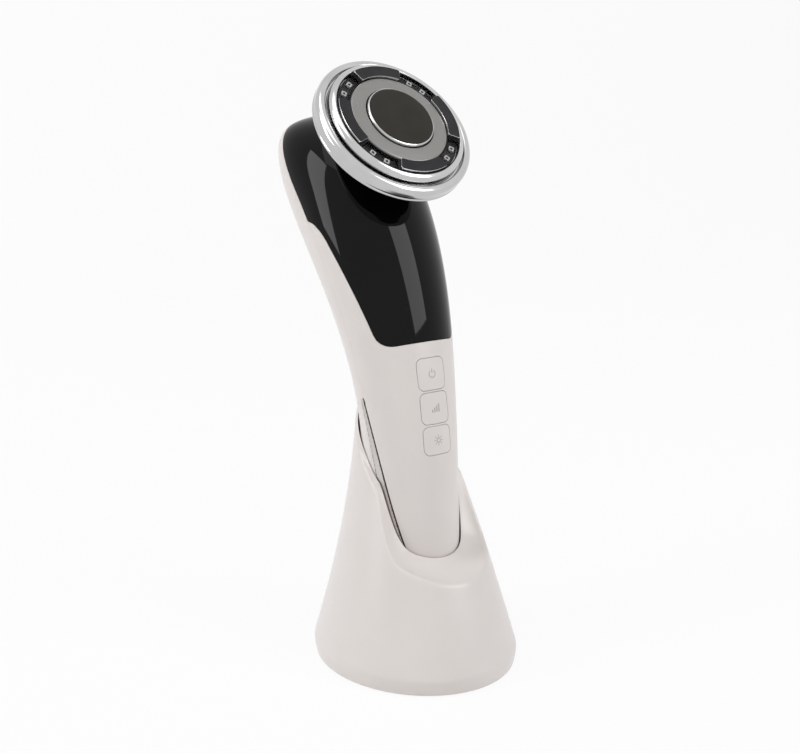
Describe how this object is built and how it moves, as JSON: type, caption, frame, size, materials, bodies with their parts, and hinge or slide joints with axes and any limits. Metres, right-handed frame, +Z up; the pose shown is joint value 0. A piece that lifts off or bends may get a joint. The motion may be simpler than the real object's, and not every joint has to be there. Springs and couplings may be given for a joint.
{
  "type": "facial toning device",
  "caption": "Leaning white hand wand with a tilted round electrode and lamp head, side hand electrodes and three flush keys, seated in a flared charging stand.",
  "frame": {"origin": "centre of the stand's footprint, on the surface that it stands on", "axes": "+Z up, -Y towards the front where the keys and the treatment face are, X = 0 is the plane of symmetry"},
  "size_m": [0.0684, 0.1004, 0.2064],
  "materials": {
    "white_plastic": "satin moulded plastic, slightly warm white",
    "black_gloss": "high gloss black",
    "base_plastic": "fine matt texture",
    "dark_plastic": "matt",
    "pad_rubber": "matt, slightly grippy",
    "ballast_iron": "raw",
    "circuit_board": "solder mask",
    "lamp_board": "black solder mask",
    "steel_fittings": "plain",
    "chrome_trim": "polished plate",
    "gold_contacts": "gold plated",
    "satin_ring": "satin plate",
    "dark_plate": "dark satin plate",
    "window_plastic": "smoked, clear over the lamps",
    "led_lamp": "white lamp bodies",
    "battery_wrap": "shrink sleeve",
    "cable_tape": "flat cable",
    "cooler_ceramic": "ceramic faces",
    "sink_aluminium": "as extruded"
  },
  "bodies": {
    "stand": {"stand_shell": "white_plastic", "socket_floor": "dark_plastic", "base_plate": "base_plastic", "base_pad": "pad_rubber", "stand_ballast": "ballast_iron", "charge_board": "circuit_board", "pin_block": "dark_plastic", "power_inlet": "steel_fittings", "stand_screws": "steel_fittings"},
    "handset": {"front_shell": "white_plastic", "rear_shell": "white_plastic", "head_panel": "black_gloss", "tail_cap": "white_plastic", "tail_contacts": "gold_contacts", "side_strip_left": "chrome_trim", "side_strip_right": "chrome_trim", "key_carrier": "dark_plastic", "key_board": "circuit_board", "tact_switches": "steel_fittings", "main_board": "circuit_board", "battery_cell": "battery_wrap", "inner_frame": "dark_plastic", "frame_screws": "steel_fittings", "head_bracket": "dark_plastic", "motor_can": "steel_fittings", "head_cable": "cable_tape", "head_neck": "black_gloss", "head_gasket": "pad_rubber", "head_bezel": "chrome_trim", "face_carrier": "dark_plastic", "face_ring": "black_gloss", "led_windows": "window_plastic", "led_board": "lamp_board", "led_chips": "led_lamp", "electrode_arcs": "chrome_trim", "contact_ring": "satin_ring", "contact_plate": "dark_plate", "peltier_module": "cooler_ceramic", "heat_sink": "sink_aluminium"},
    "charge_pin_left": {"charge_pin_left": "gold_contacts"},
    "charge_pin_right": {"charge_pin_right": "gold_contacts"},
    "key_power": {"key_power": "white_plastic"},
    "key_level": {"key_level": "white_plastic"},
    "key_light": {"key_light": "white_plastic"},
    "motor_rotor": {"motor_rotor": "steel_fittings"}
  },
  "joints": [
    {"name": "handset_lift", "type": "slide", "parent": "stand", "child": "handset", "axis": [0, 0, 1], "range_m": [0, 0.09]},
    {"name": "charge_pin_left_press", "type": "slide", "parent": "stand", "child": "charge_pin_left", "axis": [0, 0, 1], "range_m": [-0.0008, 0], "stiffness_N_per_m": 100, "springref_m": 0.0005},
    {"name": "charge_pin_right_press", "type": "slide", "parent": "stand", "child": "charge_pin_right", "axis": [0, 0, 1], "range_m": [-0.0008, 0], "stiffness_N_per_m": 100, "springref_m": 0.0005},
    {"name": "key_power_press", "type": "slide", "parent": "handset", "child": "key_power", "axis": [0, 0.9886, -0.1505], "range_m": [0, 0.0004], "stiffness_N_per_m": 500, "springref_m": -0.0002},
    {"name": "key_level_press", "type": "slide", "parent": "handset", "child": "key_level", "axis": [0, 0.9886, -0.1505], "range_m": [0, 0.0004], "stiffness_N_per_m": 500, "springref_m": -0.0002},
    {"name": "key_light_press", "type": "slide", "parent": "handset", "child": "key_light", "axis": [0, 0.9886, -0.1505], "range_m": [0, 0.0004], "stiffness_N_per_m": 500, "springref_m": -0.0002},
    {"name": "motor_spin", "type": "hinge", "parent": "handset", "child": "motor_rotor", "pos_m": [0, 0.03617, 0.16221], "axis": [1, 0, 0], "continuous": true}
  ]
}
